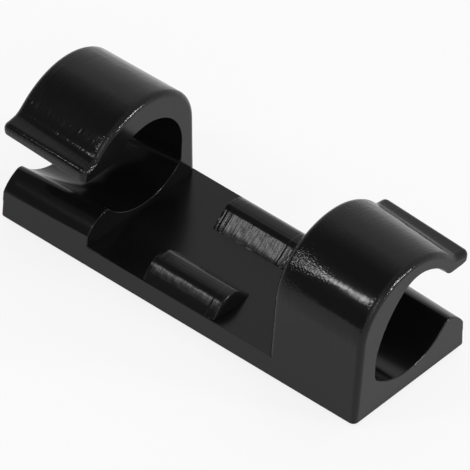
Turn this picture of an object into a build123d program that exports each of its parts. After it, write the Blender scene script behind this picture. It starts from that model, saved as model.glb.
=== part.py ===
"""Self-adhesive cable clip: one moulded body with two opposed C hooks, on a foam tape pad."""
import os
from build123d import *

os.makedirs("parts", exist_ok=True)

# overall, millimetres; X along the clip, Y across it, Z up from the surface it sticks to
LENGTH = 27.8
WIDTH = 10.0
PLATE = 1.5                 # plate thickness between the hooks
HOOK = 6.78                 # length of each hook along X
LIFT = 0.2                  # how far the tape stands below the plate's rim

# outline of the C; pairs are (outer end, inner end), z is from the plate's underside
LEAN = 0.38                 # how far the root wall leans in at the shoulder
SHOULDER_Z = 6.8
SHOULDER_R = (3.7, 3.6)
CREST = ((-0.60, 9.44), (0.20, 9.74))            # from the middle of the plate
VALLEY = ((-1.40, 7.68), (-0.92, 7.82))          # from the mouth side, down to LIP_LOW
VALLEY_R = (0.75, 0.6)
LIP_TOP = ((0.12, 7.32), (0.32, 7.50))
LIP_LOW = ((0.06, 6.55), (0.30, 6.40))

# cable channel and mouth
MOUTH_TOP = ((-1.80, 6.60), (-2.15, 6.56))       # from the mouth side
MOUTH_R = (0.55, 0.6)
ROOF_MID = ((-2.90, 7.75), (-3.30, 7.35))        # from the mouth side
ROOF_END = ((-0.25, 8.37), (-0.45, 7.82))        # from the middle
ROOF_R = (2.2, 1.6)
BACK_MID = ((2.79, 6.49), (2.32, 6.72))          # from the root wall
BACK_LOW = ((1.76, 4.10), (1.50, 4.20))          # from the root wall
FLOOR_START = ((1.76, 2.56), (1.50, 3.02))       # from the root wall
FLOOR_MID = ((-0.15, 1.32), (-0.25, 1.72))       # from the middle
CORNER_R = 0.8
RIDGE = ((-1.66, 3.08), (-1.94, 3.38))           # from the mouth side
RIDGE_R = 0.5
SLOPE_MID = ((-0.58, 2.50), (-0.70, 2.88))       # from the mouth side
BEND_Z = (1.65, 2.05)
SIDE_TOP = 5.5              # top of the trimmed mouth side, in the open mouth
PAST = 2.0                  # how far cuts run past the mouth side

# ribs on the plate
RIB_LENGTH = 5.7
RIB_FOOT = 3.5
RIB_RIDGE = (2.30, 1.14)    # ridge, from the long edge and above the plate
RIB_SIDE = (2.93, 0.60)     # on the inner side, which bulges a little
RIB_EDGE = 0.16             # the convex back's foot, from the long edge

# rounding
END_R = 0.40                # hook ends and the upright corners below them
LIP_R = END_R + 0.03        # lip's two corners; the end rounding has to fit round them
FOOT_R = 0.12               # upright corners on the mouth side
RIB_END_R = 0.35
RIB_RIDGE_R = 0.45          # wider than the ends' rounding
EDGE_R = 0.2                # underside edges of the plate

# foam tape
RIM = 0.8                   # plate's rim round the tape's recess
RECESS = 0.5
TAPE_GAP = 0.1
TAPE_R = 1.0


def root(v, z):
    """Point at v from the root wall, on the -Y side of a right hook, and z above the plate's underside."""
    return (v - WIDTH / 2, z + LIFT)


def middle(v, z):
    return (v, z + LIFT)


def mouth(v, z):
    return (v + WIDTH / 2, z + LIFT)


def round_near(sketch, point, radius):
    y, z = point
    fillet(min(sketch.vertices(), key=lambda p: (p.X - y) ** 2 + (p.Y - z) ** 2), radius)


def side(z):
    """How far the long sides lean in at height z."""
    return LEAN / SHOULDER_Z * z


def c_outline(x, e):
    """Outside of the C in the plane x, mouth still solid and its side left proud for trimming."""
    wall_top, low, proud = root(LEAN, SHOULDER_Z), PLATE - 0.3, PAST / 2
    under_lip = mouth(-1.2, MOUTH_TOP[e][1] - 0.7)
    valley, lip_top, lip_low = mouth(*VALLEY[e]), mouth(*LIP_TOP[e]), mouth(*LIP_LOW[e])
    with BuildSketch(Plane.YZ.offset(x)) as outline:
        with BuildLine():
            Polyline(mouth(proud, low), root(side(low), low), wall_top)
            ThreePointArc(wall_top, middle(*CREST[e]), valley)
            Polyline(valley, lip_top, lip_low, under_lip, mouth(proud, SIDE_TOP - 0.9), mouth(proud, low))
        make_face()
        round_near(outline, wall_top, SHOULDER_R[e])
        round_near(outline, valley, VALLEY_R[e])
        round_near(outline, lip_top, LIP_R)
        round_near(outline, lip_low, LIP_R)
    return outline.sketch


def channel(x, e):
    """The channel the cable lies in, open through the mouth, in the plane x."""
    mouth_top, roof_end = mouth(*MOUTH_TOP[e]), middle(*ROOF_END[e])
    back_low, floor_start = root(*BACK_LOW[e]), root(*FLOOR_START[e])
    ridge, bend = mouth(*RIDGE[e]), mouth(0.02, BEND_Z[e])
    outside = (mouth(PAST, BEND_Z[e] - 0.5), mouth(PAST, MOUTH_TOP[e][1]))
    with BuildSketch(Plane.YZ.offset(x)) as opening:
        with BuildLine():
            ThreePointArc(mouth_top, mouth(*ROOF_MID[e]), roof_end)
            ThreePointArc(roof_end, root(*BACK_MID[e]), back_low)
            Line(back_low, floor_start)
            ThreePointArc(floor_start, middle(*FLOOR_MID[e]), ridge)
            ThreePointArc(ridge, mouth(*SLOPE_MID[e]), bend)
            Polyline(bend, *outside, mouth_top)
        make_face()
        round_near(opening, mouth_top, MOUTH_R[e])
        round_near(opening, roof_end, ROOF_R[e])
        round_near(opening, floor_start, CORNER_R)
        round_near(opening, ridge, RIDGE_R)
    return opening.sketch


def outline_edges(part, x):
    """Edges round the outside of the C in the plane x, from the plate up and over to the lip's tip."""
    flat = part.edges().filter_by(lambda n: abs(n.bounding_box().min.X - x) < 1e-3
                                  and abs(n.bounding_box().max.X - x) < 1e-3)
    lip_under = MOUTH_TOP[1][1] - 0.1
    return flat.filter_by(lambda n: n.center().Z > LIFT + (lip_under if n.center().Y > 0 else PLATE - 0.2))


def mouth_side():
    """What stands proud of the long side under the mouth."""
    with BuildPart() as proud:
        with BuildSketch(Plane.YZ):
            with BuildLine():
                Polyline(mouth(0, 0), mouth(-side(SIDE_TOP), SIDE_TOP), mouth(PAST, SIDE_TOP),
                         mouth(PAST, 0), close=True)
            make_face()
        extrude(amount=LENGTH)
    return proud.part


def build_hook():
    """One C hook over the right end and, apart, the opening that is cut through it."""
    inner, outer = LENGTH / 2 - HOOK, LENGTH / 2
    with BuildPart() as hook:
        add([c_outline(inner, 1), c_outline(outer, 0)])
        loft(ruled=True)
        fillet(outline_edges(hook.part, inner) + outline_edges(hook.part, outer), END_R)
        add(mouth_side(), mode=Mode.SUBTRACT)
    with BuildPart() as opening:
        add([channel(inner, 1), channel(outer, 0)])
        loft(ruled=True)
    return hook.part, opening.part


def build_plate():
    with BuildPart() as plate:
        with BuildSketch(Plane.YZ.offset(-LENGTH / 2)):
            with BuildLine():
                Polyline(root(0, 0), mouth(0, 0), mouth(-side(PLATE), PLATE), root(side(PLATE), PLATE),
                         close=True)
            make_face()
        extrude(amount=LENGTH)
        corners = plate.edges().filter_by(lambda n: abs(n.tangent_at(0.5).Z) > 0.9)
        fillet(corners.filter_by(lambda n: n.center().X * n.center().Y < 0), END_R)
        fillet(corners.filter_by(lambda n: n.center().X * n.center().Y > 0), FOOT_R)
        underside = plate.faces().sort_by(Axis.Z)[0]
        fillet(underside.outer_wire().edges(), EDGE_R)
    return plate.part


def build_rib():
    """One rib, its convex back on the long edge at -Y and its straight side facing the other rib."""
    half = RIB_LENGTH / 2
    ridge, foot = root(RIB_RIDGE[0], PLATE + RIB_RIDGE[1]), root(RIB_FOOT, PLATE)
    with BuildPart() as rib:
        with BuildSketch(Plane.YZ.offset(-half)) as section:
            with BuildLine():
                back = TangentArc(ridge, root(RIB_EDGE, PLATE), tangent=(-1, 0))
                Polyline(back @ 1, root(RIB_EDGE, PLATE - 0.4), root(RIB_FOOT, PLATE - 0.4), foot)
                ThreePointArc(foot, root(RIB_SIDE[0], PLATE + RIB_SIDE[1]), ridge)
            make_face()
            round_near(section, ridge, RIB_RIDGE_R)
        extrude(amount=RIB_LENGTH)
        ends = rib.edges().filter_by(lambda n: abs(n.tangent_at(0.5).X) < 0.1)
        fillet(ends.filter_by(lambda n: n.center().Z > LIFT + PLATE - 0.3), RIB_END_R)
    return rib.part


def build_body():
    (hook, opening), rib = build_hook(), build_rib()
    with BuildPart() as body:
        add(build_plate())
        for turn in (0, 180):
            add(hook, rotation=(0, 0, turn))
            add(rib, rotation=(0, 0, turn))
            add(opening, rotation=(0, 0, turn), mode=Mode.SUBTRACT)
        with BuildSketch(Plane.XY.offset(LIFT)):
            RectangleRounded(LENGTH - 2 * RIM, WIDTH - 2 * RIM, TAPE_R)
        extrude(amount=RECESS, mode=Mode.SUBTRACT)
    body.part.label = "clip_body"
    return body.part


def build_tape():
    side = 2 * (RIM + TAPE_GAP)
    with BuildPart() as tape:
        with BuildSketch():
            RectangleRounded(LENGTH - side, WIDTH - side, TAPE_R - TAPE_GAP)
        extrude(amount=LIFT + RECESS)
    tape.part.label = "adhesive_pad"
    return tape.part


for node in (build_body(), build_tape()):
    export_step(node, f"parts/{node.label}.step")
    print(node.label, round(node.volume, 2), node.is_valid, len(node.faces()), node.bounding_box())
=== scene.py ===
import math

import bmesh
import bpy
from mathutils import Matrix, Vector


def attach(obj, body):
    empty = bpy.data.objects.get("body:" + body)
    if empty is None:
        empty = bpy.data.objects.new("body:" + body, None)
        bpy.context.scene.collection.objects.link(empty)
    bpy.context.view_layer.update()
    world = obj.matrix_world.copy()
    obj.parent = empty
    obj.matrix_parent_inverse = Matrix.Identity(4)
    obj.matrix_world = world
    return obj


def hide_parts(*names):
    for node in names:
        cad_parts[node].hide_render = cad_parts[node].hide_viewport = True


mm = 0.001

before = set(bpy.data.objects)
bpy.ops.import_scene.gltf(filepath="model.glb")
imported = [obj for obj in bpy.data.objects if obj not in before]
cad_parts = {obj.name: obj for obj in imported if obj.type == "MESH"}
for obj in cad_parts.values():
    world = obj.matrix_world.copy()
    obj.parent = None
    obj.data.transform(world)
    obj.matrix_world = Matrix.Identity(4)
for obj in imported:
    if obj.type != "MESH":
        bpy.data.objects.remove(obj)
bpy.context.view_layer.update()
print("frame loaded:", sorted(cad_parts))


def linear(hexColour):
    parts = [int(hexColour[i:i + 2], 16) / 255 for i in (1, 3, 5)]
    return [c / 12.92 if c <= 0.04045 else ((c + 0.055) / 1.055) ** 2.4 for c in parts] + [1.0]


def addNode(tree, kind, settings=None, links=None):
    # a setting or link is named by the node's own property or socket, or by the socket's number
    node = tree.nodes.new(kind)
    for name, value in (settings or {}).items():
        if isinstance(name, int) or name in node.inputs:
            node.inputs[name].default_value = value
        else:
            setattr(node, name, value)
    for name, source in (links or {}).items():
        tree.links.new(source, node.inputs[name])
    return node.outputs[0] if node.outputs else None


def combine(tree, operation, first, second):
    # a number in place of a socket is typed into the node
    settings, links = {"operation": operation}, {}
    for place, value in enumerate((first, second)):
        (settings if isinstance(value, (int, float)) else links)[place] = value
    return addNode(tree, "ShaderNodeMath", settings, links)


def split(tree, vector):
    axes = tree.nodes.new("ShaderNodeSeparateXYZ")
    tree.links.new(vector, axes.inputs[0])
    return axes.outputs


def newMaterial(name):
    material = bpy.data.materials.new(name)
    material.use_nodes = True
    material.node_tree.nodes.clear()
    return material, material.node_tree


# ABS, injection moulded: jet black with a thin clear gloss, which shows the studio softly and a
# little wavy, because the thick hooks shrank as they cooled. The polished tool left a fine grain
# that glints in the lamp, coarser near the hooks' ends, on the lips and on the ribs.
blackAbs = {
    "colour": "#0F0F10",
    "ior": 1.50,
    "glossLevel": 0.25,            # tool grain takes the gloss down to about half of clear ABS
    "roughness": 0.13,
    "plateRoughness": 0.22,
    "ribRoughness": 0.22,
    "channelAt": (0.3, 5.0),       # middle of the cable channel, on the mouth's side and above the floor
    # where each part of the surface starts to show its own grain and where it does so in full, in
    # millimetres: up from the floor, out from the middle along X, or across towards the mouth
    "above plate, up": (1.70, 1.77),
    "ribs, along": (3.0, 2.9),
    "rib ends, along": (1.7, 2.2),
    "hooks, along": (6.9, 7.1),
    "hooks, up": (4.2, 5.2),
    "outside channel": (3.7, 4.1),     # from the channel's middle
    "lips, across": (4.55, 4.95),
    "lips, up": (6.0, 6.3),
    "not end faces": (1.0, 0.85),      # share of the normal along X; the flat end faces are polished
    # hooks' ends along X, how far the grain spreads from each and how low it reaches
    "ends": [(-13.8, 0.7, 4.2), (-7.2, 1.0, 4.2), (7.2, 4.2, 4.2), (7.2, 0.9, 2.0), (13.8, 0.6, 0.2)],
    "endFull": 0.1,                    # full this near an end, and this far above its lowest
    "endFullUp": 1.0,
    # size of a bump along X, Y and Z, its depth, and where it lies; millimetres.
    # Real grain is about 0.03 across, drawn coarser so that it shows.
    "bumps": [
        ((4.5, 4.5, 4.5), 0.010, "all"),
        ((0.08, 0.08, 0.08), 0.0008, "all"),
        ((0.14, 2.0, 2.0), 0.0130, "hooks"),    # polishing lines round the hooks
        ((0.11, 0.11, 0.11), 0.021, "ends"),
        ((0.12, 0.12, 0.12), 0.014, "lips"),
        ((0.12, 0.9, 0.9), 0.005, "ribs"),
        ((0.60, 0.60, 0.60), 0.014, "ribs"),
        ((0.26, 5.0, 5.0), 0.070, "rib ends"),
    ],
    "bumpDetail": 1.0,
    "bumpRoughness": 0.5,
}


def makeBlackAbs(look):
    material, tree = newMaterial("black ABS, injection moulded")
    coordinates = tree.nodes.new("ShaderNodeTexCoord").outputs
    place = addNode(tree, "ShaderNodeVectorMath", {"operation": "SCALE", "Scale": 1 / mm},
                    {0: coordinates["Object"]})
    x, y, z = split(tree, place)
    along = addNode(tree, "ShaderNodeMath", {"operation": "ABSOLUTE"}, {0: x})
    turn = addNode(tree, "ShaderNodeMath", {"operation": "SIGN"}, {0: x})
    mouthward = combine(tree, "MULTIPLY", turn, y)

    def fade(value, none, full):
        return addNode(tree, "ShaderNodeMapRange",
                       {"interpolation_type": "SMOOTHSTEP", "From Min": none, "From Max": full},
                       {"Value": value})

    def both(first, second):
        return combine(tree, "MULTIPLY", first, second)

    channelAcross, channelUp = look["channelAt"]
    fromChannel = addNode(tree, "ShaderNodeCombineXYZ", links={
        0: combine(tree, "SUBTRACT", mouthward, channelAcross),
        1: combine(tree, "SUBTRACT", z, channelUp)})
    reach = tree.nodes.new("ShaderNodeVectorMath")
    reach.operation = "LENGTH"
    tree.links.new(fromChannel, reach.inputs[0])
    outside = fade(reach.outputs["Value"], *look["outside channel"])
    facing = addNode(tree, "ShaderNodeMath", {"operation": "ABSOLUTE"},
                     {0: split(tree, coordinates["Normal"])["X"]})
    rounded = fade(facing, *look["not end faces"])

    ends = None
    for at, spread, lowest in look["ends"]:
        away = combine(tree, "SUBTRACT", x, at)
        near = fade(addNode(tree, "ShaderNodeMath", {"operation": "ABSOLUTE"}, {0: away}),
                    spread, look["endFull"])
        near = both(near, fade(z, lowest, lowest + look["endFullUp"]))
        ends = combine(tree, "MAXIMUM", ends, near) if ends else near
    above = fade(z, *look["above plate, up"])
    ribs = both(both(fade(along, *look["ribs, along"]), above), rounded)
    hooks = both(fade(along, *look["hooks, along"]), outside)
    where = {
        "hooks": both(hooks, fade(z, *look["hooks, up"])),
        "ends": both(both(ends, rounded), outside),
        "lips": both(fade(mouthward, *look["lips, across"]), fade(z, *look["lips, up"])),
        "ribs": ribs,
        "rib ends": both(ribs, fade(along, *look["rib ends, along"])),
    }

    height = None
    for size, depth, area in look["bumps"]:
        fine = addNode(tree, "ShaderNodeVectorMath", {"operation": "MULTIPLY", 1: [1 / s for s in size]},
                       {0: place})
        bump = addNode(tree, "ShaderNodeTexNoise",
                       {"Scale": 1.0, "Detail": look["bumpDetail"], "Roughness": look["bumpRoughness"]},
                       {"Vector": fine})
        bump = addNode(tree, "ShaderNodeMath", {"operation": "MULTIPLY_ADD", 1: depth, 2: -depth / 2},
                       {0: bump})
        if area in where:
            bump = both(bump, where[area])
        height = combine(tree, "ADD", height, bump) if height else bump
    bumpy = addNode(tree, "ShaderNodeBump", {"Strength": 1.0, "Distance": mm}, {"Height": height})
    soft = addNode(tree, "ShaderNodeMapRange",
                   {"To Min": look["plateRoughness"], "To Max": look["roughness"]}, {"Value": above})
    soft = addNode(tree, "ShaderNodeMix", {"data_type": "FLOAT", 3: look["ribRoughness"]},
                   {0: ribs, 2: soft})
    shader = addNode(tree, "ShaderNodeBsdfPrincipled",
                     {"Base Color": linear(look["colour"]), "IOR": look["ior"],
                      "Specular IOR Level": look["glossLevel"]},
                     {"Roughness": soft, "Normal": bumpy})
    addNode(tree, "ShaderNodeOutputMaterial", links={"Surface": shader})
    return material


# polyethylene foam tape: matt, dark grey, with open cells at its cut edge
foamTape = {
    "colour": "#26272A",
    "roughness": 0.92,
    "cellSize": 0.12 * mm,
    "cellDepth": 0.03 * mm,
    "cellStrength": 0.7,
}


def makeFoamTape(look):
    material, tree = newMaterial("foam tape, closed cell")
    cells = addNode(tree, "ShaderNodeTexVoronoi", {"Scale": 1 / look["cellSize"]},
                    {"Vector": tree.nodes.new("ShaderNodeTexCoord").outputs["Object"]})
    rough = addNode(tree, "ShaderNodeBump",
                    {"Strength": look["cellStrength"], "Distance": look["cellDepth"]}, {"Height": cells})
    shader = addNode(tree, "ShaderNodeBsdfPrincipled",
                     {"Base Color": linear(look["colour"]), "Roughness": look["roughness"]},
                     {"Normal": rough})
    addNode(tree, "ShaderNodeOutputMaterial", links={"Surface": shader})
    return material


clipBody = {
    "mergeGap": 0.0005 * mm,
    "flatAngle": math.radians(0.25),
    "crispAngle": math.radians(24),
    "edgeRound": 0.07 * mm,
    "edgeSteps": 3,
    "cutGap": 0.004 * mm,      # a cut that passes a point nearer than this goes through it
    "sliver": 0.001 * mm,      # edges shorter than this are closed after the cuts
    "smoothAngle": math.radians(40),
    # the ribs' sides are straighter and their tops flatter than the plain solid's:
    # height above the plate at each distance from the long edge, millimetres
    "plateTop": 1.7,
    "halfWidth": 5.0,
    "ribHalf": 2.851,
    "ribEnd": 2.85,
    "ribShape": [(0.16, 0.0), (0.41, 0.344), (0.53, 0.488), (0.67, 0.637), (0.90, 0.857),
                 (1.02, 0.945), (1.15, 1.02), (1.35, 1.09), (1.60, 1.125), (1.85, 1.13), (2.10, 1.105),
                 (2.32, 1.03), (2.50, 0.915), (3.32, 0.185), (3.50, 0.0)],
    "ribEndRound": 0.35,       # the plain solid's, taken down to ribEndKept of it along the rib
    "ribEndKept": 0.4,
    "ribEvenWithin": 0.3,      # the rib's section is read this far in from its ends
    "ribLowest": 0.02,         # points where the plain rib is lower than this keep their height
    # a point counts as on the rib from this far below the plate's top, as raised from this far above
    # it, and beside the rib's outline by this much
    "ribBelow": 0.001,
    "ribAbove": 0.005,
    "ribBeside": 0.01,
    # the groove behind each lip is a wider hollow than the plain solid's: where it lies at the inner
    # and outer end of a hook, and how much lower the surface is at each distance from there
    "hookStart": 7.0,
    "grooveEnds": ((7.12, 4.08), (13.9, 3.60)),
    "grooveLow": 7.0,
    "grooveBand": -2.5,        # faces further back than this aren't cut
    "grooveFacing": 0.25,      # and neither are those that face up less than this
    "grooveDepth": [(-1.20, 0.0), (-0.60, -0.030), (-0.22, -0.050), (-0.08, -0.043), (0.0, -0.025),
                    (0.10, 0.010), (0.22, 0.055), (0.36, 0.088), (0.48, 0.092), (0.80, 0.060),
                    (1.05, 0.033), (1.30, 0.008), (1.45, 0.0)],
}


def pickEdges(piece, crispAngle):
    # the moulding's outer corners, where two faces meet at more than the crisp angle
    mesh = bmesh.from_edit_mesh(piece.data)
    mesh.select_mode = {"EDGE"}
    for edge in mesh.edges:
        faces = edge.link_faces
        edge.select_set(len(faces) == 2 and edge.calc_face_angle_signed(0) > crispAngle)
    mesh.select_flush_mode()
    bmesh.update_edit_mesh(piece.data)
    return sum(edge.select for edge in mesh.edges)


def heightAt(shape, across):
    for (near, low), (far, high) in zip(shape, shape[1:]):
        if near <= across <= far:
            return low + (high - low) * (across - near) / (far - near)
    return 0.0


def cutFaces(mesh, faces, gap, point, direction):
    geometry = faces + list({e for f in faces for e in f.edges}) + list({v for f in faces for v in f.verts})
    bmesh.ops.bisect_plane(mesh, geom=geometry, dist=gap, plane_co=point, plane_no=direction)


def shapeGrooves(mesh, sizes):
    # both hooks are cut along the groove, then each point on top of the lip is lowered
    (innerX, innerY), (outerX, outerY) = sizes["grooveEnds"]
    hookStart, low = sizes["hookStart"] * mm, sizes["grooveLow"] * mm
    depth, moved = sizes["grooveDepth"], 0

    def fromGroove(point):
        x, y = abs(point.x) / mm, math.copysign(1, point.x) * point.y / mm
        return y - innerY - (outerY - innerY) * (x - innerX) / (outerX - innerX)

    def besideGroove(face, side):
        return face.normal.z > sizes["grooveFacing"] and all(
            v.co.x * side > hookStart and v.co.z > low and fromGroove(v.co) > sizes["grooveBand"]
            for v in face.verts)

    for side in (-1, 1):
        for across, _ in depth:
            faces = [f for f in mesh.faces if besideGroove(f, side)]
            cutFaces(mesh, faces, sizes["cutGap"], (side * innerX * mm, side * (innerY + across) * mm, 0),
                     (innerY - outerY, outerX - innerX, 0))
    for point in mesh.verts:
        if abs(point.co.x) > hookStart and point.co.z > low:
            lower = heightAt(depth, fromGroove(point.co)) * mm
            point.co.z -= lower
            moved += lower != 0
    print("groove points moved:", moved)


def shapeRibs(mesh, sizes):
    # both ribs are cut along the shape's lines, then each point is raised or lowered to it
    top, half, shape = sizes["plateTop"] * mm, sizes["ribHalf"] * mm, sizes["ribShape"]
    halfWidth, ribEnd = sizes["halfWidth"], sizes["ribEnd"] * mm
    below, above, evenWithin = (sizes[name] * mm for name in ("ribBelow", "ribAbove", "ribEvenWithin"))
    wide = (shape[-1][0] + sizes["ribBeside"]) * mm

    def onRib(point):
        return abs(point.x) < half and point.z > top - below and halfWidth * mm - abs(point.y) < wide

    for side in (-1, 1):
        for across, _ in shape[1:-1]:
            faces = [f for f in mesh.faces if all(onRib(v.co) and v.co.y * side > 0 for v in f.verts)]
            cutFaces(mesh, faces, sizes["cutGap"], (0, side * (halfWidth - across) * mm, 0), (0, 1, 0))
    raised = [v for v in mesh.verts if onRib(v.co) and v.co.z > top + above]
    section = {round(halfWidth - abs(v.co.y) / mm, 3): (v.co.z - top) / mm
               for v in raised if abs(v.co.x) < half - evenWithin}
    outline = [shape[0]] + sorted(section.items()) + [shape[-1]]
    for point in raised:
        across = halfWidth - abs(point.co.y) / mm
        was = heightAt(outline, across)
        if was > sizes["ribLowest"]:
            point.co.z = top + (point.co.z - top) * heightAt(shape, across) / was
        fromEnd = ribEnd - abs(point.co.x)
        if fromEnd < sizes["ribEndRound"] * mm:
            point.co.x = math.copysign(ribEnd - fromEnd * sizes["ribEndKept"], point.co.x)
    print("rib points moved:", len(raised))


def dressBody(sizes):
    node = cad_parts["clip_body"]
    bpy.ops.object.select_all(action="DESELECT")
    piece = bpy.data.objects.new("clip_moulding", node.data.copy())
    bpy.context.scene.collection.objects.link(piece)
    piece.select_set(True)
    bpy.context.view_layer.objects.active = piece
    bpy.ops.mesh.customdata_custom_splitnormals_clear()
    bpy.ops.object.mode_set(mode="EDIT")
    bpy.ops.mesh.select_all(action="SELECT")
    bpy.ops.mesh.remove_doubles(threshold=sizes["mergeGap"])
    bpy.ops.mesh.dissolve_degenerate(threshold=sizes["mergeGap"])
    bpy.ops.mesh.select_all(action="SELECT")
    bpy.ops.mesh.dissolve_limited(angle_limit=sizes["flatAngle"])
    # corners are rounded first, while the ribs and lips still have the solid's own rounding
    bpy.ops.mesh.select_all(action="DESELECT")
    print("corners picked:", pickEdges(piece, sizes["crispAngle"]))
    bpy.ops.mesh.bevel(offset=sizes["edgeRound"], segments=sizes["edgeSteps"], clamp_overlap=False)
    bpy.ops.object.mode_set(mode="OBJECT")
    mesh = bmesh.new()
    mesh.from_mesh(piece.data)
    shapeRibs(mesh, sizes)
    mesh.normal_update()
    shapeGrooves(mesh, sizes)
    bmesh.ops.remove_doubles(mesh, verts=mesh.verts, dist=sizes["sliver"])
    bmesh.ops.dissolve_degenerate(mesh, dist=sizes["sliver"], edges=mesh.edges)
    mesh.to_mesh(piece.data)
    mesh.free()
    bpy.ops.object.shade_smooth_by_angle(angle=sizes["smoothAngle"])
    weigh = piece.modifiers.new("flat faces stay flat", "WEIGHTED_NORMAL")
    weigh.keep_sharp = True
    bpy.ops.object.modifier_apply(modifier=weigh.name)
    piece.data.materials.clear()
    piece.data.materials.append(makeBlackAbs(blackAbs))
    bpy.ops.object.select_all(action="DESELECT")
    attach(piece, "root")
    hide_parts("clip_body")
    return piece


body = dressBody(clipBody)
print("body dressed:", len(body.data.polygons), "faces")

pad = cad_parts["adhesive_pad"]
pad.data.materials.clear()
pad.data.materials.append(makeFoamTape(foamTape))
print("pad dressed")


# long lens from the front right, a little rolled; aim is from the middle of the clip's footprint
view = {
    "azimuth": math.radians(39.42),
    "elevation": math.radians(40.52),
    "roll": math.radians(2.39),
    "distance": 0.473,
    "aim": Vector((-0.283 * mm, 0.602 * mm, 3.2 * mm)),
    "sensor": 36.0,
    "focalPixels": 7959,       # focal length and width of the photo, in its pixels
    "photoPixels": 470,
    "seenFrom": 0.01,
    "seenTo": 10.0,
}


def placeCamera(view):
    az, el, roll = view["azimuth"], view["elevation"], view["roll"]
    back = Vector((math.sin(az) * math.cos(el), -math.cos(az) * math.cos(el), math.sin(el)))
    level = Vector((math.cos(az), math.sin(az), 0))
    over = back.cross(level)
    right = level * math.cos(roll) + over * math.sin(roll)
    up = over * math.cos(roll) - level * math.sin(roll)
    camera = bpy.data.objects.new("camera", bpy.data.cameras.new("camera"))
    bpy.context.scene.collection.objects.link(camera)
    camera.matrix_world = (Matrix.Translation(view["aim"] + back * view["distance"])
                           @ Matrix((right, up, back)).transposed().to_4x4())
    camera.data.sensor_width = view["sensor"]
    camera.data.lens = view["sensor"] * view["focalPixels"] / view["photoPixels"]
    camera.data.clip_start, camera.data.clip_end = view["seenFrom"], view["seenTo"]
    bpy.context.scene.camera = camera


placeCamera(view)
print("camera placed")


def towards(azimuth, elevation):
    # azimuth 0 is behind the clip, 90 to its right and 180 in front
    az, el = math.radians(azimuth), math.radians(elevation)
    return Vector((math.sin(az) * math.cos(el), math.cos(az) * math.cos(el), math.sin(el)))


# a white room round the table; darker where the ceiling opens and where the camera's side is
studio = {
    "floorSize": 1.6,
    "paper": "#FFFFFF",
    "glow": 0.82,
    "paintedShade": (14.2 * mm, 5.3 * mm),      # half sizes of a box under the clip where reflections show painted shade
    "roomLevel": 0.80,
    # azimuth, elevation, full within, gone beyond, level
    "roomPatches": [
        (-110, 62, 12, 38, 0.16),
        (-165, 12, 18, 32, 0.16),
        (-131, 28, 12, 25, 0.18),
        (88, 50, 14, 36, 0.35),
    ],
}


def paperMaterial(colour, glow, paintedShade):
    # matt white paper that shows near full white to the camera and in reflections, shadow kept;
    # reflections lose the glow in a box right under the clip, which is painted shade there
    material, tree = newMaterial("white paper, matt")
    rays = tree.nodes.new("ShaderNodeLightPath").outputs
    place = split(tree, tree.nodes.new("ShaderNodeTexCoord").outputs["Object"])
    beyond = [combine(tree, "GREATER_THAN",
                      addNode(tree, "ShaderNodeMath", {"operation": "ABSOLUTE"}, {0: place[axis]}), half)
              for axis, half in zip("XY", paintedShade)]
    # painted shade: glossy rays get no glow inside the box under the clip
    mirrored = combine(tree, "MULTIPLY", rays["Is Glossy Ray"], combine(tree, "MAXIMUM", *beyond))
    seen = combine(tree, "MAXIMUM", rays["Is Camera Ray"], mirrored)
    seen = combine(tree, "MAXIMUM", seen, rays["Is Transmission Ray"])
    matt = addNode(tree, "ShaderNodeBsdfDiffuse", {"Color": linear(colour)})
    bright = addNode(tree, "ShaderNodeEmission", {"Color": linear(colour), "Strength": 1.0})
    mix = addNode(tree, "ShaderNodeMixShader",
                  links={0: combine(tree, "MULTIPLY", seen, glow), 1: matt, 2: bright})
    addNode(tree, "ShaderNodeOutputMaterial", links={"Surface": mix})
    return material


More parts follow.
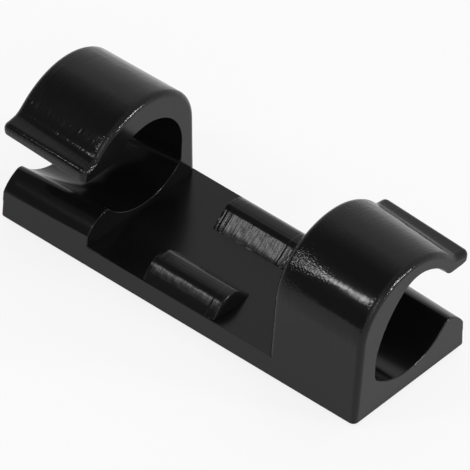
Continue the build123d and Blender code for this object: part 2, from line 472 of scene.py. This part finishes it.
def buildWorld(sizes):
    world = bpy.data.worlds.new("studio")
    world.use_nodes = True
    tree = world.node_tree
    tree.nodes.clear()
    direction = tree.nodes.new("ShaderNodeTexCoord").outputs["Generated"]
    level = addNode(tree, "ShaderNodeValue")
    level.default_value = sizes["roomLevel"]
    for azimuth, elevation, inner, outer, patchLevel in sizes["roomPatches"]:
        facing = tree.nodes.new("ShaderNodeVectorMath")
        facing.operation = "DOT_PRODUCT"
        facing.inputs[1].default_value = towards(azimuth, elevation)
        tree.links.new(direction, facing.inputs[0])
        inside = addNode(tree, "ShaderNodeMapRange",
                         {"From Min": math.cos(math.radians(outer)),
                          "From Max": math.cos(math.radians(inner))},
                         {"Value": facing.outputs["Value"]})
        level = addNode(tree, "ShaderNodeMix", {"data_type": "FLOAT", 3: patchLevel}, {0: inside, 2: level})
    room = addNode(tree, "ShaderNodeBackground", {"Color": (1, 1, 1, 1)}, {"Strength": level})
    white = addNode(tree, "ShaderNodeBackground", {"Color": (1, 1, 1, 1), "Strength": 1.0})
    toCamera = tree.nodes.new("ShaderNodeLightPath").outputs["Is Camera Ray"]
    mix = addNode(tree, "ShaderNodeMixShader", links={0: toCamera, 1: room, 2: white})
    addNode(tree, "ShaderNodeOutputWorld", links={"Surface": mix})
    bpy.context.scene.world = world


def buildFloor(sizes):
    bpy.ops.object.select_all(action="DESELECT")
    bpy.ops.mesh.primitive_plane_add(size=sizes["floorSize"], location=(0, 0, 0))
    floor = bpy.context.object
    floor.name = "floor"
    floor.data.materials.append(paperMaterial(sizes["paper"], sizes["glow"], sizes["paintedShade"]))


# level is how bright the box looks in a reflection, where 1 is white
softboxes = {
    "front box": {"azimuth": -144.5, "elevation": 44, "width": 0.084, "height": 0.060, "level": 24.0},
    "right box": {"azimuth": 128, "elevation": 38, "width": 0.11, "height": 0.10, "level": 5.0},
    "right window": {"azimuth": 121, "elevation": 29, "width": 0.36, "height": 0.32, "level": 1.0},
    "low strip": {"azimuth": 67, "elevation": 9, "width": 0.10, "height": 0.10, "level": 66.0},
}
softboxDistance = 0.6


def addSoftbox(name, box):
    away = towards(box["azimuth"], box["elevation"])
    lamp = bpy.data.objects.new(name, bpy.data.lights.new(name, "AREA"))
    lamp.data.shape = "RECTANGLE"
    lamp.data.size, lamp.data.size_y = box["width"], box["height"]
    lamp.data.energy = box["level"] * math.pi * box["width"] * box["height"]
    lamp.location = away * softboxDistance
    lamp.rotation_euler = away.to_track_quat("Z", "Y").to_euler()
    bpy.context.scene.collection.objects.link(lamp)


buildFloor(studio)
buildWorld(studio)
for name, box in softboxes.items():
    addSoftbox(name, box)
print("studio built")

bpy.context.scene.view_settings.view_transform = "Standard"

print("done")
